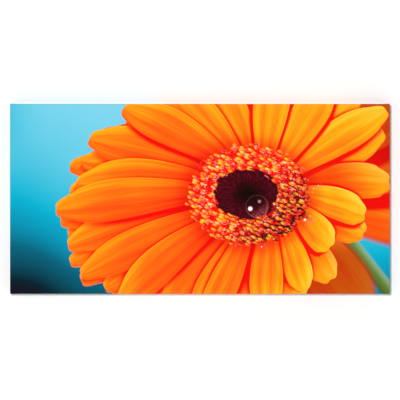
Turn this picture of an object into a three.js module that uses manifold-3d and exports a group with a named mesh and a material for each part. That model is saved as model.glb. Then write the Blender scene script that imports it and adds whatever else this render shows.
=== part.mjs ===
// A gallery-wrapped canvas picture: a printed cloth stretched over a softwood stretcher frame, folded round
// its edges and stapled to the back, with a centre brace, corner keys, a sawtooth hanger and wall bumpers.
//
// Millimetres. +X is to the viewer's right, +Z is up, and the picture faces -Y. The origin is the point where
// the wall nail holds the hanger, on the plane of the wall. Everything is laid out from the picture's centre
// on the back plane of the wood, and the outermost group then moves the hanging point to the origin.
import * as THREE from "three";
import { mergeVertices } from "three/addons/utils/BufferGeometryUtils.js";
import Module from "manifold-3d";

const wasm = await Module();
wasm.setup();

// ---- driving dimensions ------------------------------------------------------------------------------
const INCH = 25.4;
const PICTURE_WIDTH = 32 * INCH;
const PICTURE_HEIGHT = 16 * INCH;
const PICTURE_DEPTH = 38;

const CLOTH = 0.5; // thickness of the canvas
const GAP = 0.3; // clearance between pieces that touch over a wide face
const SEAT = 0.05; // clearance under small hardware
const RETURN = 26; // how far the cloth comes in over the back

const BAR_WIDTH = 36;
const BEAD_WIDTH = 7; // the raised outer lip that alone carries the cloth
const BEVEL_DROP = 4; // how far the bar's face falls away from the cloth behind the lip
const EDGE_ROUND = 1.6; // on the lip's front edge, where the cloth turns

const TENON = { thick: 8, middle: -18, from: 6, to: 30, shy: 3 };
const KEY = { length: 36, buried: 19, tip: 5, butt: 12, thick: 4, depths: [-9, -27] };
const BRACE = { width: 30, thick: 20 };
const BRACE_TENON = { width: 20, thick: 8, middle: -10, length: 12 };

const STAPLE = { crown: 11, leg: 8, wire: 0.9, band: 1.3, bend: 0.9, inset: 16 };
const STAPLE_PITCH = { long: 75, short: 65 };
const STAPLE_COUNT = { long: 10, short: 5 };
const STAPLE_LEAN = { most: 0.09, step: 2.4 }; // radians, and how the lean runs on from staple to staple

const HANGER = { length: 46, height: 12, sheet: 0.9, rise: 1.6, flat: 9, ramp: 3, inset: 16, clip: 2 };
const TOOTH = { count: 9, pitch: 2.2, deep: 2.2 };
const NAIL = { at: 18.5, shank: 0.8, bore: 1.1, long: 13, point: 1.6 };
const NAIL_HEAD = { radius: 2, rim: 0.4, crown: 1.6, height: 0.7 };
const BUMPER = { radius: 5.5, face: 3.5, height: 3, skirt: 1, shoulder: 0.4 };

const STEPS = { bend: 4, nail: 16, bumper: 24 }; // facets round a bend, a nail and a bumper
const PAST = 1; // how far a cutting shape runs past the face that it cuts

// ---- worked-out dimensions ---------------------------------------------------------------------------
const WRAP = CLOTH + GAP;
const WOOD_WIDTH = PICTURE_WIDTH - 2 * WRAP;
const WOOD_HEIGHT = PICTURE_HEIGHT - 2 * WRAP;
const WOOD_DEPTH = PICTURE_DEPTH - 2 * WRAP;
const CLOTH_BACK = WRAP; // y of the cloth's outer face behind the wood
const HARDWARE_SEAT = CLOTH_BACK + SEAT;
const WALL = HARDWARE_SEAT + BUMPER.height;
const HANGER_TOOTH_EDGE = HANGER.inset + HANGER.height / 2;
const HANGING_HEIGHT = WOOD_HEIGHT / 2 - HANGER_TOOTH_EDGE + TOOTH.deep;

// Each side of the frame has its own frame of reference: x runs along the bar, z runs inwards from the wood's
// outer edge, and y is shared. `turn` is about Y, and `reach` is from the picture's centre to the outer edge.
const SIDES = [
  { name: "bottom", turn: 0, reach: WOOD_HEIGHT / 2, long: true, ends: ["left", "right"] },
  { name: "right", turn: -Math.PI / 2, reach: WOOD_WIDTH / 2, long: false, ends: ["bottom", "top"] },
  { name: "top", turn: Math.PI, reach: WOOD_HEIGHT / 2, long: true, ends: ["right", "left"] },
  { name: "left", turn: Math.PI / 2, reach: WOOD_WIDTH / 2, long: false, ends: ["top", "bottom"] },
];

// ---- materials ---------------------------------------------------------------------------------------
const material = (color, roughness, metalness = 0) =>
  new THREE.MeshStandardMaterial({ color, roughness, metalness });
const CANVAS_PRINT = material(0xf37a12, 0.75);
const PINE = material(0xd9b98a, 0.7);
const KEY_WOOD = material(0xe2c79c, 0.7);
const STAPLE_STEEL = material(0xb9bcc0, 0.35, 1);
const HANGER_STEEL = material(0xc7c3b4, 0.3, 1);
const BUMPER_RUBBER = material(0x2b2b2d, 0.8);

// ---- helpers -----------------------------------------------------------------------------------------
function solidOf(geometry) {
  const bare = geometry.index ? geometry.toNonIndexed() : geometry.clone();
  bare.deleteAttribute("normal");
  bare.deleteAttribute("uv");
  const merged = mergeVertices(bare, 1e-3);
  return new wasm.Manifold(
    new wasm.Mesh({
      numProp: 3,
      vertProperties: merged.attributes.position.array,
      triVerts: new Uint32Array(merged.index.array),
    }),
  );
}

function geometryOf(solid) {
  const mesh = solid.getMesh();
  const geometry = new THREE.BufferGeometry();
  geometry.setAttribute("position", new THREE.BufferAttribute(mesh.vertProperties, 3));
  geometry.setIndex(new THREE.BufferAttribute(mesh.triVerts, 1));
  geometry.computeVertexNormals();
  return geometry;
}

// A box between two limits on each axis.
function block(x, y, z) {
  const geometry = new THREE.BoxGeometry(x[1] - x[0], y[1] - y[0], z[1] - z[0]);
  return geometry.translate((x[0] + x[1]) / 2, (y[0] + y[1]) / 2, (z[0] + z[1]) / 2);
}

const centred = (middle, size, extra = 0) => [middle - size / 2 - extra, middle + size / 2 + extra];

// A plate with its outline in x and z, between two depths.
function plate(points, y) {
  const outline = new THREE.Shape(points.map(([x, z]) => new THREE.Vector2(x, -z)));
  const geometry = new THREE.ExtrudeGeometry(outline, { depth: y[1] - y[0], bevelEnabled: false });
  return geometry.rotateX(-Math.PI / 2).translate(0, y[0], 0);
}

function plugAlongY(radius, y) {
  const geometry = new THREE.CylinderGeometry(radius, radius, y[1] - y[0], STEPS.nail);
  return geometry.translate(0, (y[0] + y[1]) / 2, 0);
}

function sideGroup(side) {
  const group = new THREE.Group();
  group.rotation.y = side.turn;
  group.position.set(-Math.sin(side.turn) * side.reach, 0, -Math.cos(side.turn) * side.reach);
  group.updateMatrix();
  return group;
}

function named(name, geometry, finish) {
  const mesh = new THREE.Mesh(geometry, finish);
  mesh.name = name;
  return mesh;
}

// ---- stretcher bars ----------------------------------------------------------------------------------
// The section, with x inwards from the outer edge and y towards the back.
function barSection() {
  const section = new THREE.Shape();
  section.moveTo(0, 0);
  section.lineTo(0, -(WOOD_DEPTH - EDGE_ROUND));
  section.absarc(EDGE_ROUND, -(WOOD_DEPTH - EDGE_ROUND), EDGE_ROUND, Math.PI, 1.5 * Math.PI, false);
  section.lineTo(BEAD_WIDTH, -WOOD_DEPTH);
  section.lineTo(BAR_WIDTH, -(WOOD_DEPTH - BEVEL_DROP));
  section.lineTo(BAR_WIDTH, 0);
  section.closePath();
  return section;
}

const barLength = (side) => (side.long ? WOOD_WIDTH : WOOD_HEIGHT);

// A bar in its side's frame: the section run along x, then both ends slid to the mitre.
function mitredBar(side) {
  const length = barLength(side);
  const settings = { depth: length, bevelEnabled: false, curveSegments: STEPS.bend };
  const geometry = new THREE.ExtrudeGeometry(barSection(), settings);
  geometry.rotateY(-Math.PI / 2).translate(length / 2, 0, 0);
  const place = geometry.attributes.position;
  const mitreShy = GAP * Math.SQRT1_2;
  for (let i = 0; i < place.count; i++) {
    const end = Math.sign(place.getX(i));
    place.setX(i, end * (length / 2 - place.getZ(i) - mitreShy));
  }
  return geometry;
}

// The tongue at one end of a long bar, or with clearance the slot for it in the short bar.
function cornerTenon(end, clearance = 0) {
  const outer = WOOD_WIDTH / 2 - TENON.shy + clearance;
  const inner = WOOD_WIDTH / 2 - BAR_WIDTH - clearance;
  const along = end < 0 ? [-outer, -inner] : [inner, outer];
  const across = [TENON.from - clearance, TENON.to + clearance];
  return block(along, centred(TENON.middle, TENON.thick, clearance), across);
}

// A wedge that lies on its own bar's inner face and runs into the neighbouring bar.
function cornerKey(side, end, clearance = 0) {
  const corner = barLength(side) / 2 - BAR_WIDTH;
  const tip = corner + KEY.buried + clearance;
  const butt = tip - KEY.length - clearance;
  const face = BAR_WIDTH + GAP - clearance;
  const outline = [
    [end * tip, face],
    [end * tip, BAR_WIDTH + GAP + KEY.tip + clearance],
    [end * butt, BAR_WIDTH + GAP + KEY.butt + clearance],
    [end * butt, face],
  ];
  if (end > 0) outline.reverse();
  const depth = KEY.depths[end < 0 ? 0 : 1];
  return plate(outline, centred(depth, KEY.thick, clearance));
}

// ---- centre brace ------------------------------------------------------------------------------------
function brace() {
  const half = WOOD_HEIGHT / 2 - BAR_WIDTH - GAP;
  const post = block(centred(0, BRACE.width), [-BRACE.thick, 0], [-half, half]);
  const tongue = half + BRACE_TENON.length;
  const spine = block(
    centred(0, BRACE_TENON.width),
    centred(BRACE_TENON.middle, BRACE_TENON.thick),
    [-tongue, tongue],
  );
  return solidOf(post).add(solidOf(spine));
}

// The mortise for the brace's tongue, in a long side's frame.
function braceMortise() {
  const floor = BAR_WIDTH - BRACE_TENON.length;
  return block(
    centred(0, BRACE_TENON.width, GAP),
    centred(BRACE_TENON.middle, BRACE_TENON.thick, GAP),
    [floor, BAR_WIDTH + GAP],
  );
}

// ---- staples -----------------------------------------------------------------------------------------
// A staple standing on y = 0 with its legs down, made from a flat wire bent to a U.
function stapleGeometry() {
  const half = STAPLE.crown / 2;
  const { wire, leg, bend, band } = STAPLE;
  const outline = new THREE.Shape();
  outline.moveTo(-half, -leg);
  outline.lineTo(-half, wire - bend);
  outline.absarc(-half + bend, wire - bend, bend, Math.PI, Math.PI / 2, true);
  outline.lineTo(half - bend, wire);
  outline.absarc(half - bend, wire - bend, bend, Math.PI / 2, 0, true);
  outline.lineTo(half, -leg);
  outline.lineTo(half - wire, -leg);
  outline.lineTo(half - wire, 0);
  outline.lineTo(-half + wire, 0);
  outline.lineTo(-half + wire, -leg);
  outline.closePath();
  const settings = { depth: band, bevelEnabled: false, curveSegments: STEPS.bend };
  return new THREE.ExtrudeGeometry(outline, settings).translate(0, 0, -band / 2);
}

// Where the staples of one side stand: along the bar, each leaning a little its own way.
function staplePlaces(side) {
  const kind = side.long ? "long" : "short";
  const count = STAPLE_COUNT[kind];
  const places = [];
  for (let i = 0; i < count; i++) {
    const along = (i - (count - 1) / 2) * STAPLE_PITCH[kind];
    const place = new THREE.Object3D();
    place.position.set(along, HARDWARE_SEAT, STAPLE.inset);
    place.rotation.y = STAPLE_LEAN.most * Math.sin(STAPLE_LEAN.step * i + side.turn);
    place.updateMatrix();
    places.push(place);
  }
  return places;
}

// The two slots that a staple's legs pass through.
function legSlots(place) {
  const middle = STAPLE.crown / 2 - STAPLE.wire / 2;
  const depth = [-STAPLE.leg - GAP, STAPLE.wire];
  return [-middle, middle].map((x) =>
    block(centred(x, STAPLE.wire, GAP), depth, centred(0, STAPLE.band, GAP)).applyMatrix4(place.matrix),
  );
}

// ---- hanger, nails and bumpers -----------------------------------------------------------------------
// The strip's edge view, flat at both ends and raised in the middle, in x and y.
function hangerEdge() {
  const half = HANGER.length / 2;
  const foot = half - HANGER.flat;
  const crest = foot - HANGER.ramp;
  const { sheet, rise } = HANGER;
  const under = [[-half, 0], [-foot, 0], [-crest, rise], [crest, rise], [foot, 0], [half, 0]];
  const over = under.map(([x, y]) => [x, y + sheet]).reverse();
  return new THREE.Shape([...under, ...over].map(([x, y]) => new THREE.Vector2(x, y)));
}

// The strip's plan, with clipped ends and a toothed edge towards +z, which is downwards on the top bar.
function hangerPlan() {
  const half = HANGER.length / 2;
  const { clip } = HANGER;
  const near = HANGER_TOOTH_EDGE - HANGER.height;
  const far = HANGER_TOOTH_EDGE;
  const first = (-TOOTH.count * TOOTH.pitch) / 2;
  const teeth = [[first, far]];
  for (let i = 0; i < TOOTH.count; i++) {
    teeth.push([first + (i + 0.5) * TOOTH.pitch, far - TOOTH.deep]);
    teeth.push([first + (i + 1) * TOOTH.pitch, far]);
  }
  return [
    [-half, near + clip],
    [-half, far - clip],
    [-half + clip, far],
    ...teeth,
    [half - clip, far],
    [half, far - clip],
    [half, near + clip],
    [half - clip, near],
    [-half + clip, near],
  ];
}

function hanger() {
  const settings = { depth: HANGER.height, bevelEnabled: false };
  const strip = new THREE.ExtrudeGeometry(hangerEdge(), settings);
  strip.translate(0, 0, HANGER_TOOTH_EDGE - HANGER.height);
  const tall = [-PAST, HANGER.rise + HANGER.sheet + PAST];
  let solid = solidOf(strip).intersect(solidOf(plate(hangerPlan(), tall)));
  for (const x of [-NAIL.at, NAIL.at]) {
    solid = solid.subtract(solidOf(plugAlongY(NAIL.bore, tall).translate(x, 0, HANGER.inset)));
  }
  return solid;
}

// A nail with its point down and the underside of its head on y = 0.
function nailGeometry() {
  const profile = [
    [0, -NAIL.long],
    [NAIL.shank, -NAIL.long + NAIL.point],
    [NAIL.shank, 0],
    [NAIL_HEAD.radius, 0],
    [NAIL_HEAD.radius, NAIL_HEAD.rim],
    [NAIL_HEAD.crown, NAIL_HEAD.height],
    [0, NAIL_HEAD.height],
  ];
  return new THREE.LatheGeometry(profile.map(([r, y]) => new THREE.Vector2(r, y)), STEPS.nail);
}

function bumperGeometry() {
  const { radius, face, height, skirt, shoulder } = BUMPER;
  const profile = [
    [0, 0],
    [radius, 0],
    [radius, skirt],
    [(radius + face) / 2 + shoulder, (skirt + height) / 2 + shoulder],
    [face, height],
    [0, height],
  ];
  return new THREE.LatheGeometry(profile.map(([r, y]) => new THREE.Vector2(r, y)), STEPS.bumper);
}

// ---- canvas ------------------------------------------------------------------------------------------
// A thin tray: the face, the four wrapped edges and the return over the back.
function canvasTray() {
  const [front, back] = [CLOTH_BACK - PICTURE_DEPTH, CLOTH_BACK];
  const across = centred(0, PICTURE_WIDTH);
  const up = centred(0, PICTURE_HEIGHT);
  const outside = block(across, [front, back], up);
  const inside = block(
    centred(0, PICTURE_WIDTH, -CLOTH),
    [front + CLOTH, back - CLOTH],
    centred(0, PICTURE_HEIGHT, -CLOTH),
  );
  const mouth = block(
    centred(0, PICTURE_WIDTH, -RETURN),
    [back - 2 * CLOTH, back + CLOTH],
    centred(0, PICTURE_HEIGHT, -RETURN),
  );
  return solidOf(outside).subtract(solidOf(inside)).subtract(solidOf(mouth));
}

// ---- assembly ----------------------------------------------------------------------------------------
const picture = new THREE.Group();
picture.position.set(0, -WALL, -HANGING_HEIGHT);

const groups = new Map(SIDES.map((side) => [side.name, sideGroup(side)]));
groups.forEach((group) => picture.add(group));

// Everything that is cut out of the cloth and of the bars, in the picture's frame.
const clothCuts = [];
const woodCuts = new Map(SIDES.map((side) => [side.name, []]));

for (const side of SIDES) {
  const group = groups.get(side.name);
  staplePlaces(side).forEach((place, i) => {
    const staple = named(`staple_${side.name}_${i + 1}`, stapleGeometry(), STAPLE_STEEL);
    staple.position.copy(place.position);
    staple.rotation.copy(place.rotation);
    group.add(staple);
    for (const slot of legSlots(place)) {
      const cut = solidOf(slot.applyMatrix4(group.matrix));
      clothCuts.push(cut);
      woodCuts.get(side.name).push(cut);
    }
  });

  // The key at a side's first end runs into the side before it, and the key at its last end into the next.
  const index = SIDES.indexOf(side);
  [-1, 1].forEach((end, i) => {
    const neighbour = SIDES[(index + end + SIDES.length) % SIDES.length];
    group.add(named(`corner_key_${side.name}_${side.ends[i]}`, cornerKey(side, end), KEY_WOOD));
    woodCuts.get(neighbour.name).push(solidOf(cornerKey(side, end, GAP).applyMatrix4(group.matrix)));
    if (side.long) {
      woodCuts.get(neighbour.name).push(solidOf(cornerTenon(end, GAP).applyMatrix4(group.matrix)));
    }
  });
  if (side.long) {
    woodCuts.get(side.name).push(solidOf(braceMortise().applyMatrix4(group.matrix)));
  }
}

const topGroup = groups.get("top");
const hangerMesh = named("sawtooth_hanger", geometryOf(hanger()), HANGER_STEEL);
hangerMesh.position.y = HARDWARE_SEAT;
topGroup.add(hangerMesh);
[-1, 1].forEach((end) => {
  // The top side's frame is turned half round, so its -x end is on the viewer's right.
  const nail = named(`hanger_nail_${end < 0 ? "right" : "left"}`, nailGeometry(), HANGER_STEEL);
  nail.position.set(end * NAIL.at, HARDWARE_SEAT + HANGER.sheet + SEAT, HANGER.inset);
  topGroup.add(nail);
  const bore = plugAlongY(NAIL.bore, [-NAIL.long, CLOTH_BACK + PAST]);
  const cut = solidOf(bore.translate(end * NAIL.at, 0, HANGER.inset).applyMatrix4(topGroup.matrix));
  clothCuts.push(cut);
  woodCuts.get("top").push(cut);
});

const bottomGroup = groups.get("bottom");
[-1, 1].forEach((end) => {
  const bumper = named(`wall_bumper_${end < 0 ? "left" : "right"}`, bumperGeometry(), BUMPER_RUBBER);
  const inset = BAR_WIDTH / 2;
  bumper.position.set(end * (WOOD_WIDTH / 2 - inset), HARDWARE_SEAT, inset);
  bottomGroup.add(bumper);
});

for (const side of SIDES) {
  const group = groups.get(side.name);
  let bar = solidOf(mitredBar(side).applyMatrix4(group.matrix));
  if (side.long) {
    for (const end of [-1, 1]) {
      bar = bar.add(solidOf(cornerTenon(end).applyMatrix4(group.matrix)));
    }
  }
  for (const cut of woodCuts.get(side.name)) bar = bar.subtract(cut);
  picture.add(named(`stretcher_bar_${side.name}`, geometryOf(bar), PINE));
}

picture.add(named("centre_brace", geometryOf(brace()), PINE));

let canvas = canvasTray();
for (const cut of clothCuts) canvas = canvas.subtract(cut);
picture.add(named("canvas", geometryOf(canvas), CANVAS_PRINT));

export default picture;
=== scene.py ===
import math
import random

import bmesh
import bpy
from mathutils import Matrix, Vector


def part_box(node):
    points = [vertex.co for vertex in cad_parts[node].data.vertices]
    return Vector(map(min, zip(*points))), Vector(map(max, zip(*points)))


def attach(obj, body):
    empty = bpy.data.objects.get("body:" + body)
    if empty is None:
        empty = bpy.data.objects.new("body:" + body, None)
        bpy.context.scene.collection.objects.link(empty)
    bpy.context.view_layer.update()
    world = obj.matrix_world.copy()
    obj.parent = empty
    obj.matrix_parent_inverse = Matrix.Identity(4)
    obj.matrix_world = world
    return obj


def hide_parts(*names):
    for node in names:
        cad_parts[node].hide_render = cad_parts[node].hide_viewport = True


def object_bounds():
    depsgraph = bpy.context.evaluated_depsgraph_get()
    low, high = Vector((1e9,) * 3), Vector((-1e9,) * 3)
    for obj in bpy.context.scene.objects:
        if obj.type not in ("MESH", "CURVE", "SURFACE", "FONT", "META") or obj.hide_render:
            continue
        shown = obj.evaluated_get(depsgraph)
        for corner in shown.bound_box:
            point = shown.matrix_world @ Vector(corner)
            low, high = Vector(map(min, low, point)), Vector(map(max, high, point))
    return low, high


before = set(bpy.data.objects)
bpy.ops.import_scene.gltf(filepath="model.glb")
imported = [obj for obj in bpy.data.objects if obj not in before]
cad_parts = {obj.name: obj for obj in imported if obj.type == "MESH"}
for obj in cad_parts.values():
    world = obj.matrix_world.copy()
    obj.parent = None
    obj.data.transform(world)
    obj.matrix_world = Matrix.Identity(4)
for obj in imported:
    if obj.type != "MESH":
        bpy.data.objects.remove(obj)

# A wide picture on stretched canvas: printed cloth over a wooden stretcher frame, with its hardware behind.
# Metres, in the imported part's frame: +X is the viewer's right, +Z is up and the picture faces -Y.
# The print is laid out in millimetres from the picture's centre, x to the right and y upwards.

cad_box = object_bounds()
MM = 0.001

canvas_low, canvas_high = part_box("canvas")
centre = (canvas_low + canvas_high) / 2
picture_size = canvas_high - canvas_low
BARS = [f"stretcher_bar_{side}" for side in ("bottom", "right", "top", "left")]

# ---- the cloth and the folds at its corners ----
CLOTH = 0.5 * MM
ROLL = 1.8 * MM  # the round where the cloth turns over an edge
ROLL_STEPS = 5
RETURN = 26 * MM  # how far the cloth comes in over the back
FOLD_TAIL = 11 * MM  # how far a corner's pleat comes in over the back, short of the staples and bumpers
FOLD_FLARE = 5 * MM  # and how much further along the edge it has run by then
FOLD_THICK = 0.5 * MM  # two layers of cloth, pressed flat
FOLD_LIFT = 0.03 * MM  # the air between the pleat and the cloth under it
WEAVE_PITCH = 0.85 * MM
PRINT_WEAVE, PRIMED_WEAVE, RAW_WEAVE = 0.05 * MM, 0.07 * MM, 0.12 * MM  # how deep the threads stand out
CLOTH_SHINE = 0.05

# ---- the printed flower, in millimetres on the print ----
DISC = Vector((105, 8, 0))
ROOT_RING = Vector((104, 84, 0))  # where the petals start, round the disc
TIP_SHIFT = Vector((-77, -25, 0))  # the flower faces a little to the right, so its left petals look longer
TIP_RING = Vector((325, 268, 0))
LONG_WAY, LONG_GAIN = math.radians(42), 0.4  # petals grow longer towards the upper right
SUNNY_WAY = math.radians(12)  # and yellower towards the right
OPEN_WAY = (math.radians(-80), math.radians(26))  # a gap in the rear petals, behind the short ones
FAR_OPEN_WAY = (math.radians(-33), math.radians(-9))  # and in those out of focus, where the stem shows
FAR_WAY = (math.radians(-75), math.radians(100))  # where petals out of focus stand behind the others
SHORT_WAY = (math.radians(-96), math.radians(18))  # here the petals point at the eye and look short
LONG_WAYS = ((-math.pi, SHORT_WAY[0]), (OPEN_WAY[1], math.pi))
FLORET_RING = Vector((135, 111, 1))
HEART = Vector((98, 10, 0))
HEART_RING = Vector((70, 56, 1))
FLORET_WAY = Vector((math.cos(math.radians(-24)), math.sin(math.radians(-24)), 0))  # the way they slant
FLORET_SIDE = Vector((-FLORET_WAY.y, FLORET_WAY.x, 0))
FLORET_LONG, FLORET_WIDE = 16.0, 6.6
BUDS_AROUND, BUD_ROWS = 200, 20
LIGHT_WAY = Vector((0.2, 0.98, 0))
ANGLE_STRAY, LENGTH_STRAY, WIDTH_STRAY = 0.2, 0.06, 0.12  # how far a petal may be off, in shares
BEND_STRAY, TINT_STRAY = 0.3, 0.12
LEAST_SHADOW = 0.6  # the share of a petal's shadow that is left on the far side from LONG_WAY
SHADOW_SLIP = -0.1  # how far a shadow slips away from the light, in half widths
TOOTH_RATE, TOOTH_DEPTH = 9.0, 0.012  # the small notches in a petal's tip
REAR_SHADE = 1.5  # how much darker a rear petal is at its root than at its tip
RIDGE_RATE = 8.8  # sets one ridge along a petal's middle and one by each edge
STREAK_SEED = 37.0  # sets each petal's streaks apart from its neighbours'
STEM_MIDDLE, STEM_ACROSS = Vector((366, -150, 0)), Vector((0.78, 0.62, 0))
STEM_CORE, STEM_EDGE = 11.0, 19.0  # its half width where it is solid, and where its blur ends
SHADE_START, SHADE_FULL = -20.0, 170.0  # the disc's shade, along the way down to the right
DROP_LIT_WAY = (0.5, -0.85, 0.0)
GLINT, FAINT_GLINT = (-0.58, -0.2, 0.0), (0.2, 0.42, 0.0)  # in radii from a drop's middle
DROPS = ((122, -16, 25, 0.2), (232, -42, 13, 0.16), (256, 30, 5, 0.3), (245, 23, 4, 0.3), (136, -101, 7, 0.2))
LEFT_DROOP, RIGHT_DROOP = 0.8, 0.3  # how far a level petal's tip sinks at each side, in half widths
SLENDER = [
    (0, 0), (0.02, 0.42), (0.25, 0.74), (0.5, 0.97), (0.62, 1), (0.78, 0.88), (0.9, 0.6), (0.97, 0.3), (1, 0),
]
BLUNT = [(0, 0), (0.02, 0.46), (0.25, 0.76), (0.6, 1), (0.8, 0.96), (0.93, 0.7), (0.985, 0.38), (1, 0)]


# ---- node helpers ----
class Graph:
    """Adds nodes to one tree. Each method takes sockets or plain values and returns an output."""

    def __init__(self, tree):
        self.tree = tree

    def node(self, kind, **settings):
        made = self.tree.nodes.new("ShaderNode" + kind)
        for name, value in settings.items():
            setattr(made, name, value)
        return made

    def feed(self, socket, value):
        if isinstance(value, bpy.types.NodeSocket):
            self.tree.links.new(value, socket)
        else:
            socket.default_value = value

    def maths(self, operation, *values):
        made = self.node("Math", operation=operation)
        for socket, value in zip(made.inputs, values):
            self.feed(socket, value)
        return made.outputs[0]

    def vectors(self, operation, *values):
        made = self.node("VectorMath", operation=operation)
        for socket, value in zip(made.inputs, values):
            self.feed(socket, value)
        plain = operation in ("DOT_PRODUCT", "LENGTH", "DISTANCE")
        return made.outputs["Value" if plain else "Vector"]

    def scaled(self, vector, by):
        made = self.node("VectorMath", operation="SCALE")
        self.feed(made.inputs[0], vector)
        self.feed(made.inputs["Scale"], by)
        return made.outputs["Vector"]

    def spread(self, value, low, high, to_low=0.0, to_high=1.0, smooth=True):
        """value between low and high, brought to a new range and held there. The smooth kind holds by itself,
        and clamping it again would add a node to every petal and make the print too big for one shader."""
        kind = "SMOOTHSTEP" if smooth else "LINEAR"
        made = self.node("MapRange", interpolation_type=kind, clamp=not smooth)
        for socket, given in zip(made.inputs, (value, low, high, to_low, to_high)):
            self.feed(socket, given)
        return made.outputs["Result"]

    def join(self, x, y, z=0.0):
        made = self.node("CombineXYZ")
        for socket, value in zip(made.inputs, (x, y, z)):
            self.feed(socket, value)
        return made.outputs[0]

    def split(self, vector):
        made = self.node("SeparateXYZ")
        self.feed(made.inputs[0], vector)
        return made.outputs

    def blend(self, factor, under, over, kind="MIX"):
        """Two colours mixed."""
        made = self.node("Mix", data_type="RGBA", blend_type=kind)
        for index, value in ((0, factor), (6, under), (7, over)):
            self.feed(made.inputs[index], value)
        return made.outputs[2]

    def cross(self, factor, under, over):
        """Two vectors mixed."""
        made = self.node("Mix", data_type="VECTOR")
        for index, value in ((0, factor), (4, under), (5, over)):
            self.feed(made.inputs[index], value)
        return made.outputs[1]

    def ramp(self, value, stops):
        made = self.node("ValToRGB")
        bar = made.color_ramp.elements
        while len(bar) < len(stops):
            bar.new(1.0)
        for element, (place, colour) in zip(bar, stops):
            element.position = place
            element.color = colour
        self.feed(made.inputs[0], value)
        return made.outputs[0]

    def curve(self, value, points):
        made = self.node("FloatCurve")
        line = made.mapping.curves[0].points
        while len(line) < len(points):
            line.new(0.5, 0.5)
        for point, place in zip(line, points):
            point.location = place
        made.mapping.extend = "HORIZONTAL"
        made.mapping.update()
        self.feed(made.inputs["Value"], value)
        return made.outputs[0]

    def noise(self, vector, scale, detail=2.0, roughness=0.5):
        made = self.node("TexNoise")
        values = {"Vector": vector, "Scale": scale, "Detail": detail, "Roughness": roughness}
        for name, value in values.items():
            self.feed(made.inputs[name], value)
        return made.outputs[0]

    def cells(self, vector, randomness=0.9, dimensions="3D"):
        """Random cells: how far each point is from its cell's heart, the cell's colour, and that heart."""
        made = self.node("TexVoronoi", voronoi_dimensions=dimensions)
        self.feed(made.inputs["Vector"], vector)
        self.feed(made.inputs["Scale"], 1.0)
        self.feed(made.inputs["Randomness"], randomness)
        return made.outputs["Distance"], made.outputs["Color"], made.outputs["Position"]

    def group(self, tree, **values):
        made = self.node("Group", node_tree=tree)
        for name, value in values.items():
            self.feed(made.inputs[name], value)
        return made.outputs


def new_group(name, inputs, outputs):
    """A shader node group with named sockets: its graph, its inputs and its output node."""
    tree = bpy.data.node_groups.new(name, "ShaderNodeTree")
    for in_out, sockets in (("INPUT", inputs), ("OUTPUT", outputs)):
        for label, kind in sockets.items():
            tree.interface.new_socket(label, in_out=in_out, socket_type="NodeSocket" + kind)
    return Graph(tree), tree.nodes.new("NodeGroupInput").outputs, tree.nodes.new("NodeGroupOutput").inputs


def new_material(name, **plain):
    """A material with one Principled shader, its plain values set by name."""
    made = bpy.data.materials.new(name)
    made.use_nodes = True
    shader = made.node_tree.nodes["Principled BSDF"]
    for label, value in plain.items():
        shader.inputs[label.replace("_", " ")].default_value = value
    return made, Graph(made.node_tree), shader.inputs


def ink(red, green, blue):
    """A colour as it looks on a screen, from 0 to 255, as the linear values that shaders take."""
    shares = (red / 255, green / 255, blue / 255)
    return tuple(s / 12.92 if s <= 0.04045 else ((s + 0.055) / 1.055) ** 2.4 for s in shares) + (1.0,)


# ---- the print: petals ----
def petal_group(name, outline):
    """One petal laid over the ones below. Over holds the place along and across the topmost petal and its
    lean to the light; Finish holds its tint, whether there is a petal, and how much light reaches it."""
    graph, given, out = new_group(
        name,
        {
            "Place": "Vector", "Under": "Vector", "Finish Under": "Vector", "Root": "Vector",
            "Along": "Vector", "Across": "Vector", "Bend": "Float", "Lean": "Float", "Own": "Vector",
            "Soft": "Float", "Shadow": "Float", "Slip": "Float",
        },
        {"Over": "Vector", "Finish": "Vector"},
    )
    offset = graph.vectors("SUBTRACT", given["Place"], given["Root"])
    along = graph.vectors("DOT_PRODUCT", offset, given["Along"])
    straight = graph.vectors("DOT_PRODUCT", offset, given["Across"])
    sag = graph.maths("MULTIPLY", along, along)
    sag = graph.maths("MULTIPLY", sag, given["Bend"])
    across = graph.maths("SUBTRACT", straight, sag)
    teeth = graph.maths("COSINE", graph.maths("MULTIPLY", across, TOOTH_RATE))
    width = graph.curve(graph.maths("MULTIPLY_ADD", teeth, TOOTH_DEPTH, along), outline)
    inside = graph.maths("SUBTRACT", width, graph.maths("ABSOLUTE", across))
    mask = graph.spread(inside, 0.0, given["Soft"])

    slipped = graph.maths("ABSOLUTE", graph.maths("SUBTRACT", across, given["Slip"]))
    shaded = graph.spread(graph.maths("SUBTRACT", width, slipped), -0.3, 0.08, 0.0, given["Shadow"])
    shaded = graph.maths("MULTIPLY", shaded, graph.spread(width, 0.0, 0.2))
    light = graph.join(1.0, 1.0, graph.maths("SUBTRACT", 1.0, shaded))
    darkened = graph.vectors("MULTIPLY", given["Finish Under"], light)
    graph.feed(out["Finish"], graph.cross(mask, darkened, given["Own"]))

    share = graph.maths("DIVIDE", across, graph.maths("MAXIMUM", width, 0.05))
    here = graph.join(along, share, given["Lean"])
    graph.feed(out["Over"], graph.cross(mask, given["Under"], here))
    return graph.tree


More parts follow.
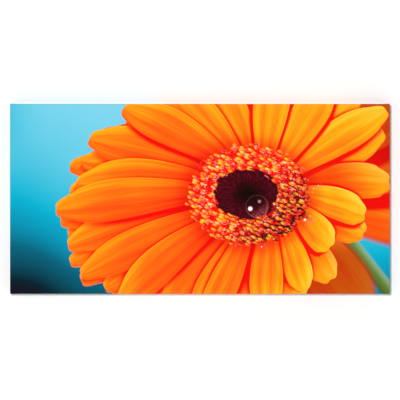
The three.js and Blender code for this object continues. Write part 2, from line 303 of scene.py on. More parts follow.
def whorl(tree, count, turn, reach, half_width, light, soft, shadow, seed,
          span=(-math.pi, math.pi), gap=None):
    """The group and socket values of each petal in one whorl, evenly spread and each a little off."""
    rng = random.Random(seed)
    petals = []
    for i in range(count):
        angle = turn + (i + rng.uniform(-ANGLE_STRAY, ANGLE_STRAY)) * math.tau / count
        angle = (angle + math.pi) % math.tau - math.pi
        stray, wide, lift, shift = (rng.uniform(-1, 1) for _ in range(4))
        if not span[0] < angle < span[1] or (gap and gap[0] < angle < gap[1]):
            continue
        way = Vector((math.cos(angle), math.sin(angle), 0))
        towards_long = max(0, math.cos(angle - LONG_WAY))
        stretch = reach * (1 + LENGTH_STRAY * stray) * (1 + LONG_GAIN * towards_long ** 4)
        root = DISC + way * ROOT_RING
        tip = DISC + TIP_SHIFT + way * TIP_RING * stretch
        length = (tip - root).length
        direction = (tip - root) / length
        normal = Vector((-direction.y, direction.x, 0))
        lean = normal.dot(LIGHT_WAY)
        sunny = 0.5 + 0.5 * math.cos(angle - SUNNY_WAY)
        droop = LEFT_DROOP if direction.x < 0 else RIGHT_DROOP
        petals.append((tree, {
            "Root": root,
            "Along": direction / length,
            "Across": normal / (half_width * (1 + WIDTH_STRAY * wide)),
            "Bend": -droop * direction.x + BEND_STRAY * shift,
            "Lean": lean,
            "Own": (sunny + TINT_STRAY * lift, 1.0, light),
            "Soft": soft,
            "Shadow": shadow * (LEAST_SHADOW + (1 - LEAST_SHADOW) * towards_long),
            "Slip": SHADOW_SLIP * lean,
        }))
    # Every third petal first, so that neighbours lie over and under each other by turns.
    return petals[0::3] + petals[1::3] + petals[2::3]


def lay_petals(graph, place, *whorls):
    """Lays each petal of the whorls over the last, and returns what shows of them."""
    over, finish = (0.0, 0.0, 0.0), (0.0, 0.0, 1.0)
    for tree, petal in (p for w in whorls for p in w):
        values = {**petal, "Place": place, "Under": over, "Finish Under": finish}
        over, finish = graph.group(tree, **values)
    return over, finish


def flower(graph, place, behind):
    """The petals over what lies behind them: a few out of focus at the right, then the sharp whorls."""
    slender = petal_group("slender_petal_over", SLENDER)
    blunt = petal_group("blunt_petal_over", BLUNT)
    blurred = lay_petals(
        graph, place,
        whorl(blunt, count=30, turn=0.17, reach=1.36, half_width=76, light=0.86, soft=0.22, shadow=0.8,
              seed=3, span=FAR_WAY, gap=FAR_OPEN_WAY),
    )
    skin, cover = petal_skin(graph, *blurred)
    x, y, _ = graph.split(place)
    far = graph.spread(graph.maths("MULTIPLY_ADD", y, 0.9, x), 380.0, 580.0)
    far = graph.maths("MAXIMUM", far, graph.spread(y, -125.0, -65.0, 0.92, 0.0))
    skin = graph.blend(1.0, skin, graph.blend(far, (0.94, 0.5, 0.6, 1.0), (0.55, 0.2, 0.2, 1.0)), "MULTIPLY")
    colour = graph.blend(cover, behind, skin)

    over, finish = lay_petals(
        graph, place,
        whorl(slender, count=21, turn=0.02, reach=1.0, half_width=46, light=0.8, soft=0.05, shadow=0.7,
              seed=4, gap=OPEN_WAY),
        whorl(slender, count=23, turn=0.19, reach=1.0, half_width=42, light=0.9, soft=0.04, shadow=0.8,
              seed=5, gap=OPEN_WAY),
        whorl(blunt, count=16, turn=0.2, reach=0.92, half_width=40, light=0.74, soft=0.04, shadow=0.8,
              seed=6, span=SHORT_WAY),
        *(whorl(slender, count=21, turn=0.05, reach=1.0, half_width=42, light=1.0, soft=0.04, shadow=0.78,
                seed=8, span=span) for span in LONG_WAYS),
        whorl(blunt, count=16, turn=0.02, reach=0.88, half_width=34, light=1.0, soft=0.04, shadow=0.85,
              seed=12, span=SHORT_WAY),
    )
    skin, cover = petal_skin(graph, over, finish)
    colour = graph.blend(cover, colour, skin)
    fringe = graph.maths("MULTIPLY", cover, graph.maths("SUBTRACT", 1.0, cover))
    fringe = graph.maths("MULTIPLY", fringe, graph.spread(x, -60.0, 120.0, 2.4, 0.3))
    return graph.blend(fringe, colour, ink(246, 176, 180))


def petal_skin(graph, over, finish):
    """The colour of a petal from the place on it, its tint and its light."""
    along, across, lean = graph.split(over)
    tint, cover, light = graph.split(finish)
    own = graph.maths("MULTIPLY", tint, STREAK_SEED)
    wide_place = graph.join(graph.maths("MULTIPLY", along, 2.0), graph.maths("MULTIPLY", across, 5.0), own)
    streaks = graph.noise(wide_place, 1.0, 2.0)
    fine_place = graph.join(graph.maths("MULTIPLY", along, 1.6), graph.maths("MULTIPLY", across, 19.0), own)
    veins = graph.noise(fine_place, 1.0, 3.0)
    side = graph.maths("ABSOLUTE", across)
    ridges = graph.maths("COSINE", graph.maths("MULTIPLY", across, RIDGE_RATE))
    ridges = graph.maths("MULTIPLY", ridges, graph.spread(along, 0.9, 1.0, 1.0, 0.2))
    turned = graph.maths("MULTIPLY", lean, across)  # above 0 on the half that faces the light
    rim = graph.spread(side, 0.86, 0.99)
    lit_rim = graph.maths("MULTIPLY", rim, graph.spread(turned, -0.5, 0.6, 0.25, 1.0))
    tip = graph.spread(along, 0.5, 1.0)
    root = graph.spread(along, 0.0, 0.45, 1.0, 0.0)
    root = graph.maths("MULTIPLY", root, graph.spread(tint, 0.3, 1.0, 1.0, 0.4))

    level = graph.maths("MULTIPLY_ADD", graph.spread(tint, 0.05, 0.9), 0.24, 0.47)
    parts = ((tip, 0.16), (root, -0.22), (graph.maths("SUBTRACT", streaks, 0.5), 0.34),
             (graph.maths("SUBTRACT", veins, 0.5), 0.22), (ridges, 0.05), (lit_rim, 0.2), (turned, 0.16))
    for part, amount in parts:
        level = graph.maths("MULTIPLY_ADD", part, amount, level)
    skin = graph.ramp(level, [
        (0.0, ink(206, 10, 2)), (0.2, ink(246, 48, 4)), (0.38, ink(253, 82, 8)), (0.52, ink(255, 106, 10)),
        (0.66, ink(255, 140, 12)), (0.82, ink(255, 178, 16)), (1.0, ink(255, 208, 62)),
    ])
    deep = graph.maths("SUBTRACT", 1.0, light)
    deep = graph.maths("MULTIPLY", deep, graph.spread(along, 0.35, 0.95, REAR_SHADE, 0.0))
    dim = graph.blend(graph.spread(graph.maths("SUBTRACT", light, deep), 0.1, 1.0),
                      (0.88, 0.015, 0.03, 1.0), (1.0, 1.0, 1.0, 1.0))
    return graph.blend(1.0, skin, dim, "MULTIPLY"), cover


# ---- the print: backdrop, disc and drops ----
def backdrop(graph, place):
    """Out-of-focus blue, pale above and nearly black below at the left, with a green stem at the right."""
    x, y, _ = graph.split(place)
    high = graph.spread(y, -203.0, 203.0, 0.0, 0.84, smooth=False)
    high = graph.maths("ADD", high, graph.spread(x, -420.0, -190.0, 0.0, 0.16))
    high = graph.maths("ADD", high, graph.spread(x, 0.0, 330.0, 0.0, 0.08))
    corner = graph.spread(x, -430.0, -320.0, 1.0, 0.0)
    corner = graph.maths("MULTIPLY", corner, graph.spread(y, 60.0, 210.0))
    high = graph.maths("MULTIPLY_ADD", corner, -0.26, high)
    cloud = graph.noise(graph.scaled(place, 0.004), 1.0, 1.0)
    high = graph.maths("MULTIPLY_ADD", graph.maths("SUBTRACT", cloud, 0.5), 0.12, high)
    blue = graph.ramp(high, [
        (0.0, ink(18, 8, 24)), (0.06, ink(0, 30, 44)), (0.2, ink(0, 96, 120)), (0.28, ink(0, 136, 168)),
        (0.42, ink(0, 172, 204)), (0.5, ink(38, 182, 212)), (0.7, ink(94, 198, 224)),
        (1.0, ink(124, 208, 232)),
    ])
    off = graph.vectors("DOT_PRODUCT", graph.vectors("SUBTRACT", place, STEM_MIDDLE), STEM_ACROSS)
    stalk = graph.spread(graph.maths("ABSOLUTE", off), STEM_CORE, STEM_EDGE, 1.0, 0.0)
    green = graph.ramp(graph.spread(off, -16.0, 16.0, smooth=False),
                       [(0.0, ink(62, 84, 26)), (0.55, ink(96, 128, 52)), (1.0, ink(150, 178, 140))])
    return graph.blend(graph.maths("MULTIPLY", stalk, graph.spread(x, 250.0, 290.0)), blue, green)


def ring_distance(graph, place, middle, ring):
    """0 at the middle and 1 on the ring."""
    return graph.vectors("LENGTH", graph.vectors("DIVIDE", graph.vectors("SUBTRACT", place, middle), ring))


def round_the_disc(graph, offset, rho, around, rows):
    """A place on a cylinder, one unit to a bud, so that rows of buds close up round the disc."""
    way = graph.vectors("NORMALIZE", graph.vectors("DIVIDE", offset, FLORET_RING))
    x, y, _ = graph.split(graph.scaled(way, around / math.tau))
    return graph.join(x, y, graph.maths("MULTIPLY", rho, rows))


def florets(graph, place, under):
    """The crowded ring of small florets round a dark heart."""
    offset = graph.vectors("SUBTRACT", place, DISC)
    x, y, _ = graph.split(offset)
    rho = ring_distance(graph, place, DISC, FLORET_RING)
    shade_side = graph.spread(graph.maths("SUBTRACT", x, y), SHADE_START, SHADE_FULL)

    cell = graph.join(graph.vectors("DOT_PRODUCT", offset, FLORET_WAY / FLORET_LONG),
                      graph.vectors("DOT_PRODUCT", offset, FLORET_SIDE / FLORET_WIDE))
    near, cell_colour, cell_place = graph.cells(cell, dimensions="2D")
    pick, stray, tone = graph.split(cell_colour)
    back, _, _ = graph.split(graph.vectors("SUBTRACT", cell_place, cell))
    length = graph.spread(back, -0.45, 0.45)
    level = graph.maths("MULTIPLY_ADD", length, 0.5, graph.maths("MULTIPLY", pick, 0.62))
    level = graph.maths("MULTIPLY_ADD", shade_side, -0.16, level)
    body = graph.ramp(level, [
        (0.0, ink(196, 0, 4)), (0.2, ink(244, 8, 6)), (0.42, ink(252, 48, 40)), (0.56, ink(255, 96, 40)),
        (0.7, ink(255, 146, 10)), (0.84, ink(255, 180, 8)), (1.0, ink(255, 208, 60)),
    ])
    gap = graph.spread(near, 0.3, 0.56)
    gap_colour = graph.blend(shade_side, ink(246, 10, 2), ink(48, 0, 2))
    ring = graph.blend(gap, body, gap_colour)

    fine = graph.noise(graph.scaled(cell, 1.7), 1.0, 1.0)
    where = graph.noise(graph.vectors("DIVIDE", offset, (11.0, 9.0, 1.0)), 1.0, 1.0)
    curls = graph.spread(graph.maths("ABSOLUTE", graph.maths("SUBTRACT", fine, 0.5)), 0.012, 0.045, 1.0, 0.0)
    curls = graph.maths("MULTIPLY", curls, graph.spread(where, 0.46, 0.54))
    curls = graph.maths("MULTIPLY", curls, graph.spread(rho, 0.72, 0.95, 0.9, 0.5))
    curls = graph.maths("MULTIPLY", curls, graph.spread(gap, 0.5, 1.0, 1.0, 0.3))
    curls = graph.maths("MULTIPLY", curls, graph.spread(shade_side, 0.3, 1.0, 1.0, 0.5))
    ring = graph.blend(curls, ring, graph.blend(tone, ink(255, 244, 214), ink(255, 190, 70)))
    specks = graph.maths("MULTIPLY", graph.spread(fine, 0.57, 0.64), shade_side)
    ring = graph.blend(specks, ring, ink(22, 0, 2))

    ragged = graph.maths("MULTIPLY", graph.maths("SUBTRACT", stray, 0.5), 0.11)
    outer = graph.maths("MULTIPLY_ADD", gap, 0.06, graph.maths("ADD", rho, ragged))
    inner = graph.maths("MULTIPLY_ADD", ragged, 1.4, ring_distance(graph, place, HEART, HEART_RING))
    halo = graph.spread(rho, 0.95, 1.25, 0.7, 0.0)
    colour = graph.blend(halo, under, graph.blend(1.0, under, (0.86, 0.10, 0.08, 1.0), "MULTIPLY"))
    colour = graph.blend(graph.spread(outer, 0.96, 0.99, 1.0, 0.0), colour, ring)

    deep_cell = round_the_disc(graph, offset, rho, BUDS_AROUND, BUD_ROWS)
    bud, bud_colour, _ = graph.cells(deep_cell)
    own = graph.split(bud_colour)[0]
    deep = graph.maths("MULTIPLY_ADD", own, 0.5, graph.spread(rho, 0.0, 0.38, -0.12, 0.5))
    deep = graph.maths("MULTIPLY_ADD", bud, -0.35, deep)
    heart = graph.ramp(deep, [
        (0.0, ink(12, 0, 0)), (0.3, ink(42, 0, 3)), (0.62, ink(72, 0, 12)), (1.0, ink(120, 8, 44)),
    ])
    return graph.blend(graph.spread(inner, 0.94, 1.0, 1.0, 0.0), colour, heart)


def drop_group():
    """A clear water drop: a thin reddish rim, a darker upper edge, a streaky glow below, and two glints."""
    graph, given, out = new_group(
        "water_drop",
        {"Place": "Vector", "Under": "Color", "Middle": "Vector", "Size": "Float", "Strength": "Float"},
        {"Colour": "Color"},
    )
    offset = graph.vectors("SUBTRACT", given["Place"], given["Middle"])
    offset = graph.scaled(offset, graph.maths("DIVIDE", 1.0, given["Size"]))
    away = graph.vectors("LENGTH", offset)
    edge = graph.spread(graph.maths("ABSOLUTE", graph.maths("SUBTRACT", away, 0.95)), 0.0, 0.07, 1.0, 0.0)
    body = graph.spread(away, 0.95, 1.0, 1.0, 0.0)
    lit_edge = graph.vectors("DOT_PRODUCT", offset, DROP_LIT_WAY)
    speckle = graph.noise(graph.scaled(offset, 7.0), 1.0, 2.0)
    glow = graph.maths("MULTIPLY", body, graph.spread(lit_edge, 0.0, 0.95, 0.0, 0.5))
    glow = graph.maths("MULTIPLY", glow, graph.spread(speckle, 0.4, 0.65))
    dark = graph.maths("MULTIPLY", body, graph.spread(lit_edge, -1.0, 0.0, 0.22, 0.0))
    edge = graph.maths("MULTIPLY", edge, graph.spread(lit_edge, -0.9, 0.5, 0.3, 1.0))
    glint = graph.spread(graph.vectors("DISTANCE", offset, GLINT), 0.13, 0.24, 1.0, 0.0)
    faint = graph.spread(graph.vectors("DISTANCE", offset, FAINT_GLINT), 0.0, 0.2, 0.4, 0.0)
    glint = graph.maths("MAXIMUM", glint, faint)
    colour = graph.blend(dark, given["Under"], ink(60, 10, 10))
    colour = graph.blend(glow, colour, ink(240, 120, 130))
    colour = graph.blend(graph.maths("MULTIPLY", edge, given["Strength"]), colour, ink(255, 120, 128))
    graph.feed(out["Colour"], graph.blend(glint, colour, ink(255, 250, 245)))
    return graph.tree


def drops(graph, place, colour):
    tree = drop_group()
    for x, y, size, strength in DROPS:
        laid = graph.group(tree, Place=place, Under=colour, Middle=(x, y, 0), Size=size, Strength=strength)
        colour = laid["Colour"]
    return colour


# ---- shared effects ----
def weave_group():
    """Plain weave: the height of the threads, and a slow change from thread to thread."""
    graph, given, out = new_group(
        "plain_weave",
        {"Place": "Vector", "Pitch": "Float"},
        {"Height": "Float", "Thread": "Float"},
    )
    place = graph.scaled(given["Place"], graph.maths("DIVIDE", math.pi, given["Pitch"]))
    x, y, _ = graph.split(place)
    over = graph.maths("MULTIPLY", graph.maths("SINE", x), graph.maths("SINE", y))
    graph.feed(out["Height"], graph.maths("MULTIPLY_ADD", over, 0.5, 0.5))
    streaks = graph.noise(graph.vectors("MULTIPLY", place, (0.04, 1.0, 1.0)), 0.35, 2.0)
    cross = graph.noise(graph.vectors("MULTIPLY", place, (1.0, 0.04, 1.0)), 0.35, 2.0)
    graph.feed(out["Thread"], graph.maths("MULTIPLY", graph.maths("ADD", streaks, cross), 0.5))
    return graph.tree


WEAVE = weave_group()


def cloth_material(name, colour_of, weave_depth, roughness):
    """Woven cloth. colour_of takes the graph and the flat place on the cloth and returns its colour."""
    made, graph, shader = new_material(name, Specular_IOR_Level=CLOTH_SHINE)
    place = graph.node("UVMap", uv_map="flat_place").outputs[0]
    height, thread = graph.group(WEAVE, Place=place, Pitch=WEAVE_PITCH)
    graph.feed(shader["Base Color"], colour_of(graph, place))
    graph.feed(shader["Roughness"], graph.spread(thread, 0.3, 0.7, roughness - 0.05, roughness + 0.07))
    bump = graph.node("Bump")
    graph.feed(bump.inputs["Height"], graph.maths("MULTIPLY_ADD", thread, 0.6, height))
    graph.feed(bump.inputs["Distance"], weave_depth)
    graph.feed(shader["Normal"], bump.outputs[0])
    return made


def flower_print(graph, flat_place):
    place = graph.scaled(flat_place, 1 / MM)
    colour = backdrop(graph, place)
    colour = flower(graph, place, colour)
    colour = florets(graph, place, colour)
    return drops(graph, place, colour)


def primed_white(graph, flat_place):
    mottle = graph.noise(flat_place, 60.0, 3.0)
    return graph.ramp(mottle, [(0.3, ink(236, 234, 228)), (0.7, ink(247, 246, 242))])


def raw_cloth(graph, flat_place):
    slub = graph.noise(graph.vectors("MULTIPLY", flat_place, (30.0, 600.0, 1.0)), 1.0, 3.0)
    return graph.ramp(slub, [(0.3, ink(206, 194, 170)), (0.7, ink(228, 219, 199))])


# ---- the cloth ----
def lay_flat(bm):
    """Gives every face corner the place on the flat cloth that it came from, measured from the centre."""
    layer = bm.loops.layers.uv.new("flat_place")
    for face in bm.faces:
        upright = abs(face.normal.z) > abs(face.normal.x)
        for loop in face.loops:
            spot = loop.vert.co - centre
            depth = loop.vert.co.y - canvas_low.y
            x = spot.x if upright else spot.x + math.copysign(depth, spot.x)
            z = spot.z + math.copysign(depth, spot.z) if upright else spot.z
            loop[layer].uv = (x, z)


def cloth_piece(name, bm, thickness=CLOTH, offset=-1):
    """A piece of cloth from its outer or inner surface: white behind, printed elsewhere, raw inside."""
    bm.normal_update()
    lay_flat(bm)
    for face in bm.faces:
        face.material_index = 1 if face.normal.y > 0.7 else 0
        face.smooth = True
    mesh = bpy.data.meshes.new(name)
    bm.to_mesh(mesh)
    bm.free()
    for material in CLOTH_MATERIALS:
        mesh.materials.append(material)
    piece = bpy.data.objects.new(name, mesh)
    bpy.context.scene.collection.objects.link(piece)
    shell = piece.modifiers.new("thickness", "SOLIDIFY")
    shell.thickness, shell.offset = thickness, offset
    shell.material_offset, shell.material_offset_rim = (2, 2) if offset < 0 else (0, 0)
    piece.modifiers.new("even shading", "WEIGHTED_NORMAL")
    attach(piece, "root")
    return piece


def stretched_canvas():
    """The cloth round the frame: its face, its four wrapped sides and the return behind."""
    bm = bmesh.new()
    bmesh.ops.create_cube(bm, size=1)
    bmesh.ops.scale(bm, vec=picture_size, verts=bm.verts)
    bmesh.ops.translate(bm, vec=centre, verts=bm.verts)
    bmesh.ops.bevel(bm, geom=bm.edges[:], offset=ROLL, offset_type="OFFSET", segments=ROLL_STEPS,
                    profile=0.5, affect="EDGES", material=-1)
    back = max(bm.faces, key=lambda face: face.calc_center_median().y)
    bmesh.ops.inset_region(bm, faces=[back], thickness=RETURN - ROLL)
    bmesh.ops.delete(bm, geom=[back], context="FACES")
    piece = cloth_piece("stretched_canvas", bm)
    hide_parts("canvas")
    return piece


CLOTH_MATERIALS = [
    cloth_material("flower print on canvas", flower_print, PRINT_WEAVE, roughness=0.68),
    cloth_material("primed white canvas", primed_white, PRIMED_WEAVE, roughness=0.8),
    cloth_material("raw canvas inside", raw_cloth, RAW_WEAVE, roughness=0.88),
]
CLOTH_MATERIALS.append(CLOTH_MATERIALS[2])  # the inside of printed and of white cloth is raw alike


def corner_folds():
    """The four pleats in which the spare cloth at the corners is tucked, on the top and bottom sides."""
    bm = bmesh.new()
    half, depth = picture_size / 2, picture_size.y
    for end_x in (-1, 1):
        for end_z in (-1, 1):
            def spot(along, back, tail=0.0):
                """A point by how far it is along the edge from the corner, behind the face, and in behind."""
                return bm.verts.new((
                    centre.x + end_x * (half.x - along),
                    canvas_low.y + back + (FOLD_LIFT if back == depth else 0),
                    centre.z + end_z * (half.z + FOLD_LIFT - tail),
                ))
            front, back, crease = spot(ROLL, ROLL), spot(ROLL, depth), spot(depth, depth)
            tail, tail_crease = spot(ROLL, depth, FOLD_TAIL), spot(depth + FOLD_FLARE, depth, FOLD_TAIL)
            bm.faces.new((front, crease, back))
            bm.faces.new((back, crease, tail_crease, tail))
            edge = bm.edges.get((back, crease))
            bmesh.ops.bevel(bm, geom=[edge], offset=ROLL, offset_type="OFFSET", segments=ROLL_STEPS,
                            profile=0.5, affect="EDGES", material=-1)
    bmesh.ops.recalc_face_normals(bm, faces=bm.faces)
    for face in bm.faces:
        spot_out = face.calc_center_median() - centre
        if face.normal.dot(spot_out) < 0:
            face.normal_flip()
    return cloth_piece("corner_folds", bm, thickness=FOLD_THICK, offset=1)


canvas = stretched_canvas()
folds = corner_folds()


# ---- wood, steel and rubber ----
SAME_POINT = 0.005 * MM
SAME_FLAT = math.radians(1)
SHARP = math.radians(32)
WOOD_ROUND = 0.8 * MM
SHORTEST_ROUNDED = 25 * MM  # the bars' shorter edges, at their joints, stay crisp
KEY_ROUND = 0.3 * MM
METAL_ROUND = 0.12 * MM
RUBBER_ROUND = 0.3 * MM
BAR_RING, KEY_RING = 3.4 * MM, 2.2 * MM  # from one growth ring to the next


def softwood_group():
    """Softwood with its grain along X: growth rings that bend round knots, and fine fibres."""
    graph, given, out = new_group(
        "softwood_grain",
        {"Place": "Vector", "Early": "Color", "Late": "Color", "Ring": "Float"},
        {"Colour": "Color", "Height": "Float", "Rough": "Float"},
    )
    place = given["Place"]
    knot, knot_colour, _ = graph.cells(graph.vectors("MULTIPLY", place, (5.5, 19.0, 19.0)), 1.0)
    wander = graph.noise(graph.vectors("MULTIPLY", place, (4.0, 16.0, 16.0)), 1.0, 2.0)
    _, y, z = graph.split(place)
    pith = graph.join(0.0, graph.maths("ADD", y, 0.05), graph.maths("ADD", z, 0.02))
    away = graph.maths("MULTIPLY_ADD", wander, 0.016, graph.vectors("LENGTH", pith))
    away = graph.maths("MULTIPLY_ADD", graph.spread(knot, 0.0, 0.45, 1.0, 0.0), 0.012, away)
    turn = graph.maths("FRACT", graph.maths("DIVIDE", away, given["Ring"]))
    late = graph.maths("MULTIPLY", graph.spread(turn, 0.3, 0.92), graph.spread(turn, 0.93, 1.0, 1.0, 0.0))
    fibres = graph.noise(graph.vectors("MULTIPLY", place, (45.0, 1500.0, 1500.0)), 1.0, 3.0)
    streaks = graph.noise(graph.vectors("MULTIPLY", place, (9.0, 260.0, 260.0)), 1.0, 2.0)

    uneven = graph.maths("SUBTRACT", streaks, 0.5)
    tone = graph.maths("MULTIPLY_ADD", uneven, 0.9, graph.maths("MULTIPLY", late, 0.75))
    colour = graph.blend(graph.spread(tone, -0.1, 0.9), given["Early"], given["Late"])
    pores = graph.spread(fibres, 0.56, 0.72, 0.0, 0.35)
    colour = graph.blend(pores, colour, ink(150, 104, 62))
    rare = graph.maths("GREATER_THAN", graph.split(knot_colour)[0], 0.6)
    heart = graph.maths("MULTIPLY", rare, graph.spread(knot, 0.05, 0.13, 1.0, 0.0))
    rim = graph.maths("MULTIPLY", rare, graph.spread(knot, 0.08, 0.2, 0.6, 0.0))
    colour = graph.blend(rim, colour, ink(164, 108, 58))
    graph.feed(out["Colour"], graph.blend(heart, colour, ink(96, 54, 28)))
    graph.feed(out["Height"], graph.maths("MULTIPLY_ADD", fibres, 0.7, late))
    graph.feed(out["Rough"], graph.spread(fibres, 0.3, 0.75, 0.58, 0.8))
    return graph.tree


def zinc_group():
    """Zinc on steel: soft crystals, dull patches, and a warmer and rougher tone where it has rubbed off."""
    graph, given, out = new_group(
        "zinc_coat",
        {"Place": "Vector", "Tone": "Color", "Grain": "Float", "Wear": "Float"},
        {"Colour": "Color", "Height": "Float", "Rough": "Float"},
    )
    place = given["Place"]
    _, flake, _ = graph.cells(graph.scaled(place, given["Grain"]), 1.0)
    patch = graph.noise(place, 160.0, 3.0)
    flakes = graph.spread(graph.split(flake)[0], 0.0, 1.0, 0.93, 1.04)
    colour = graph.blend(1.0, given["Tone"], graph.join(flakes, flakes, flakes), "MULTIPLY")
    worn = graph.maths("MULTIPLY", graph.spread(patch, 0.58, 0.74), given["Wear"])
    graph.feed(out["Colour"], graph.blend(worn, colour, ink(150, 126, 104)))
    dull = graph.maths("MULTIPLY_ADD", patch, 0.22, graph.maths("MULTIPLY", flakes, 0.16))
    graph.feed(out["Rough"], graph.maths("MULTIPLY_ADD", worn, 0.25, dull))
    graph.feed(out["Height"], graph.noise(place, 2600.0, 3.0))
    return graph.tree


def finished(made, graph, shader, parts, depth):
    """Wires a finish group's colour, roughness and height into its material."""
    graph.feed(shader["Base Color"], parts["Colour"])
    graph.feed(shader["Roughness"], parts["Rough"])
    bump = graph.node("Bump")
    graph.feed(bump.inputs["Height"], parts["Height"])
    graph.feed(bump.inputs["Distance"], depth)
    graph.feed(shader["Normal"], bump.outputs[0])
    return made


def wood_material(name, upright, shift, early, late, ring):
    """Wood with its grain along the piece. shift takes each piece from its own part of the tree."""
    made, graph, shader = new_material(name, Specular_IOR_Level=0.3)
    turn = graph.node("Mapping")
    graph.feed(turn.inputs["Vector"], graph.node("TexCoord").outputs["Object"])
    graph.feed(turn.inputs["Location"], shift)
    graph.feed(turn.inputs["Rotation"], (0.0, math.pi / 2 if upright else 0.0, 0.0))
    parts = graph.group(SOFTWOOD, Place=turn.outputs[0], Early=early, Late=late, Ring=ring)
    return finished(made, graph, shader, parts, 0.12 * MM)


def steel_material(name, tone, grain, wear):
    made, graph, shader = new_material(name, Metallic=1.0)
    place = graph.node("TexCoord").outputs["Object"]
    parts = graph.group(ZINC, Place=place, Tone=tone, Grain=grain, Wear=wear)
    return finished(made, graph, shader, parts, 0.008 * MM)


def rubber_material():
    """Matt moulded rubber with a fine texture and a little pale dust."""
    made, graph, shader = new_material("bumper rubber", Specular_IOR_Level=0.35)
    place = graph.node("TexCoord").outputs["Object"]
    dust = graph.spread(graph.noise(place, 900.0, 4.0), 0.52, 0.72, 0.0, 0.4)
    graph.feed(shader["Base Color"], graph.blend(dust, ink(38, 38, 40), ink(96, 94, 90)))
    graph.feed(shader["Roughness"], graph.spread(dust, 0.0, 0.4, 0.62, 0.9))
    bump = graph.node("Bump")
    graph.feed(bump.inputs["Height"], graph.noise(place, 4000.0, 2.0))
    graph.feed(bump.inputs["Distance"], 0.03 * MM)
    graph.feed(shader["Normal"], bump.outputs[0])
    return made


def eased(node, material, round_by, shortest=0.0):
    """A copy of a CAD piece that stands for it, with its sharp edges rounded where they are long enough."""
    bm = bmesh.new()
    bm.from_mesh(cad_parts[node].data)
    bmesh.ops.remove_doubles(bm, verts=bm.verts, dist=SAME_POINT)
    bmesh.ops.dissolve_limit(bm, angle_limit=SAME_FLAT, verts=bm.verts, edges=bm.edges)
    sharp = [
        edge for edge in bm.edges
        if edge.is_manifold and edge.calc_face_angle() > SHARP and edge.calc_length() > shortest
    ]
    bmesh.ops.bevel(bm, geom=sharp, offset=round_by, offset_type="OFFSET", segments=2, profile=0.5,
                    affect="EDGES", clamp_overlap=True, material=-1)
    bmesh.ops.recalc_face_normals(bm, faces=bm.faces)
    for face in bm.faces:
        face.smooth = True
    for edge in bm.edges:
        edge.smooth = edge.is_manifold and edge.calc_face_angle() < SHARP
    mesh = bpy.data.meshes.new(f"eased_{node}")
    bm.to_mesh(mesh)
    bm.free()
    mesh.materials.append(material)
    piece = bpy.data.objects.new(f"eased_{node}", mesh)
    bpy.context.scene.collection.objects.link(piece)
    piece.modifiers.new("even shading", "WEIGHTED_NORMAL").keep_sharp = True
    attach(piece, "root")
    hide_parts(node)
    return piece


def finish_wood():
    early, late = ink(232, 203, 156), ink(198, 150, 96)
    names = BARS + ["centre_brace"]
    for number, name in enumerate(names):
        upright = name.endswith(("left", "right")) or name == "centre_brace"
        shift = (0.37 * number, 0.021 * number, 0.013 * number)
        wood = wood_material(f"pine {name}", upright, shift, early, late, ring=BAR_RING)
        eased(name, wood, WOOD_ROUND, shortest=SHORTEST_ROUNDED)
    keys = [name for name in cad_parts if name.startswith("corner_key")]
    for number, name in enumerate(keys):
        upright = name.startswith(("corner_key_left", "corner_key_right"))
        shift = (0.23 * number, 0.017 * number, 0.009 * number)
        wood = wood_material(f"key wood {name}", upright, shift, ink(240, 218, 178), ink(216, 178, 126),
                             ring=KEY_RING)
        eased(name, wood, KEY_ROUND)


def finish_metal_and_rubber():
    staple = steel_material("galvanised staple wire", ink(232, 235, 238), grain=2600.0, wear=0.25)
    plate = steel_material("zinc-plated hanger steel", ink(240, 236, 222), grain=900.0, wear=0.35)
    rubber = rubber_material()
    for name in list(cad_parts):
        if name.startswith("staple"):
            eased(name, staple, METAL_ROUND)
        elif "hanger" in name:
            eased(name, plate, METAL_ROUND)
        elif name.startswith("wall_bumper"):
            eased(name, rubber, RUBBER_ROUND)


SOFTWOOD = softwood_group()
ZINC = zinc_group()
finish_wood()
finish_metal_and_rubber()


# ---- stage, light and camera ----
WALL_SIZE = 9.0
FLOOR_DROP = 0.75  # from the picture's lower edge down to the floor
VIEW_DISTANCE = 5.0
FRAME_SHARE = 0.95  # how much of the view the picture's width takes up
AIM_DROP = 2.4 * MM  # the view's middle lies this far under the picture's centre
WALL_GAP = 0.3 * MM  # behind the bumpers
ROOM_LIGHT = 0.32
FRONT_LIGHT, FRONT_LIGHT_SIZE, FRONT_LIGHT_POWER = Vector((-0.42, -5, 0.42)), 0.34, 158
REAR_LIGHT, REAR_LIGHT_SIZE, REAR_LIGHT_POWER = Vector((0.9, 3.2, 1.4)), 2.0, 60


def plane(name, size, turn, place, material):
    bm = bmesh.new()
    bmesh.ops.create_grid(bm, x_segments=1, y_segments=1, size=size / 2)
    bmesh.ops.rotate(bm, cent=(0, 0, 0), matrix=turn, verts=bm.verts)
    bmesh.ops.translate(bm, vec=place, verts=bm.verts)
    mesh = bpy.data.meshes.new(name)
    bm.to_mesh(mesh)
    bm.free()
    mesh.materials.append(material)
    piece = bpy.data.objects.new(name, mesh)
    bpy.context.scene.collection.objects.link(piece)
    return piece


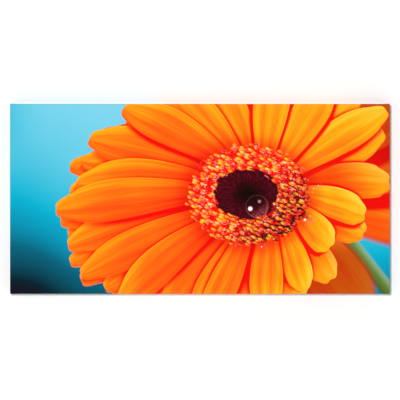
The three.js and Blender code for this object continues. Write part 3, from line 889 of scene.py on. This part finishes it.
def wall_material():
    """White from the front and clear from behind, so that the picture's back can be looked at."""
    made, graph, shader = new_material("white wall", Base_Color=(0.99, 0.99, 0.99, 1), Roughness=1.0,
                                       Specular_IOR_Level=0.0)
    clear = graph.node("BsdfTransparent").outputs[0]
    mix = graph.node("MixShader")
    graph.feed(mix.inputs[0], graph.node("NewGeometry").outputs["Backfacing"])
    graph.feed(mix.inputs[1], made.node_tree.nodes["Principled BSDF"].outputs[0])
    graph.feed(mix.inputs[2], clear)
    graph.feed(made.node_tree.nodes["Material Output"].inputs["Surface"], mix.outputs[0])
    return made


def build_stage():
    upright = Matrix.Rotation(math.pi / 2, 3, "X")
    wall = plane("wall", WALL_SIZE, upright, (0, cad_box[1].y + WALL_GAP, centre.z), wall_material())
    wall.visible_shadow = False
    wall.visible_diffuse = False
    pale = new_material("pale floor", Base_Color=(0.86, 0.86, 0.85, 1), Roughness=0.9,
                        Specular_IOR_Level=0.1)[0]
    floor_height = canvas_low.z - FLOOR_DROP
    plane("floor", WALL_SIZE, Matrix.Identity(3), (0, 0, floor_height), pale)


def area_light(name, place, aim, size, power):
    data = bpy.data.lights.new(name, "AREA")
    data.size, data.energy = size, power
    light = bpy.data.objects.new(name, data)
    bpy.context.scene.collection.objects.link(light)
    light.location = place
    light.rotation_euler = (Vector(aim) - Vector(place)).to_track_quat("-Z", "Y").to_euler()
    return light


def build_lights():
    world = bpy.data.worlds.new("soft room")
    world.use_nodes = True
    world.node_tree.nodes["Background"].inputs["Color"].default_value = (1, 1, 1, 1)
    world.node_tree.nodes["Background"].inputs["Strength"].default_value = ROOM_LIGHT
    bpy.context.scene.world = world
    area_light("key", centre + FRONT_LIGHT, centre, FRONT_LIGHT_SIZE, FRONT_LIGHT_POWER)
    area_light("back fill", centre + REAR_LIGHT, centre, REAR_LIGHT_SIZE, REAR_LIGHT_POWER)


def build_camera():
    data = bpy.data.cameras.new("camera")
    seen_width = picture_size.x / FRAME_SHARE
    data.lens = data.sensor_width * VIEW_DISTANCE / seen_width
    camera = bpy.data.objects.new("camera", data)
    bpy.context.scene.collection.objects.link(camera)
    camera.location = (centre.x, canvas_low.y - VIEW_DISTANCE, centre.z - AIM_DROP)
    camera.rotation_euler = (math.pi / 2, 0, 0)
    data.clip_end = 100
    bpy.context.scene.camera = camera
    bpy.context.scene.view_settings.view_transform = "Standard"


build_stage()
build_lights()
build_camera()
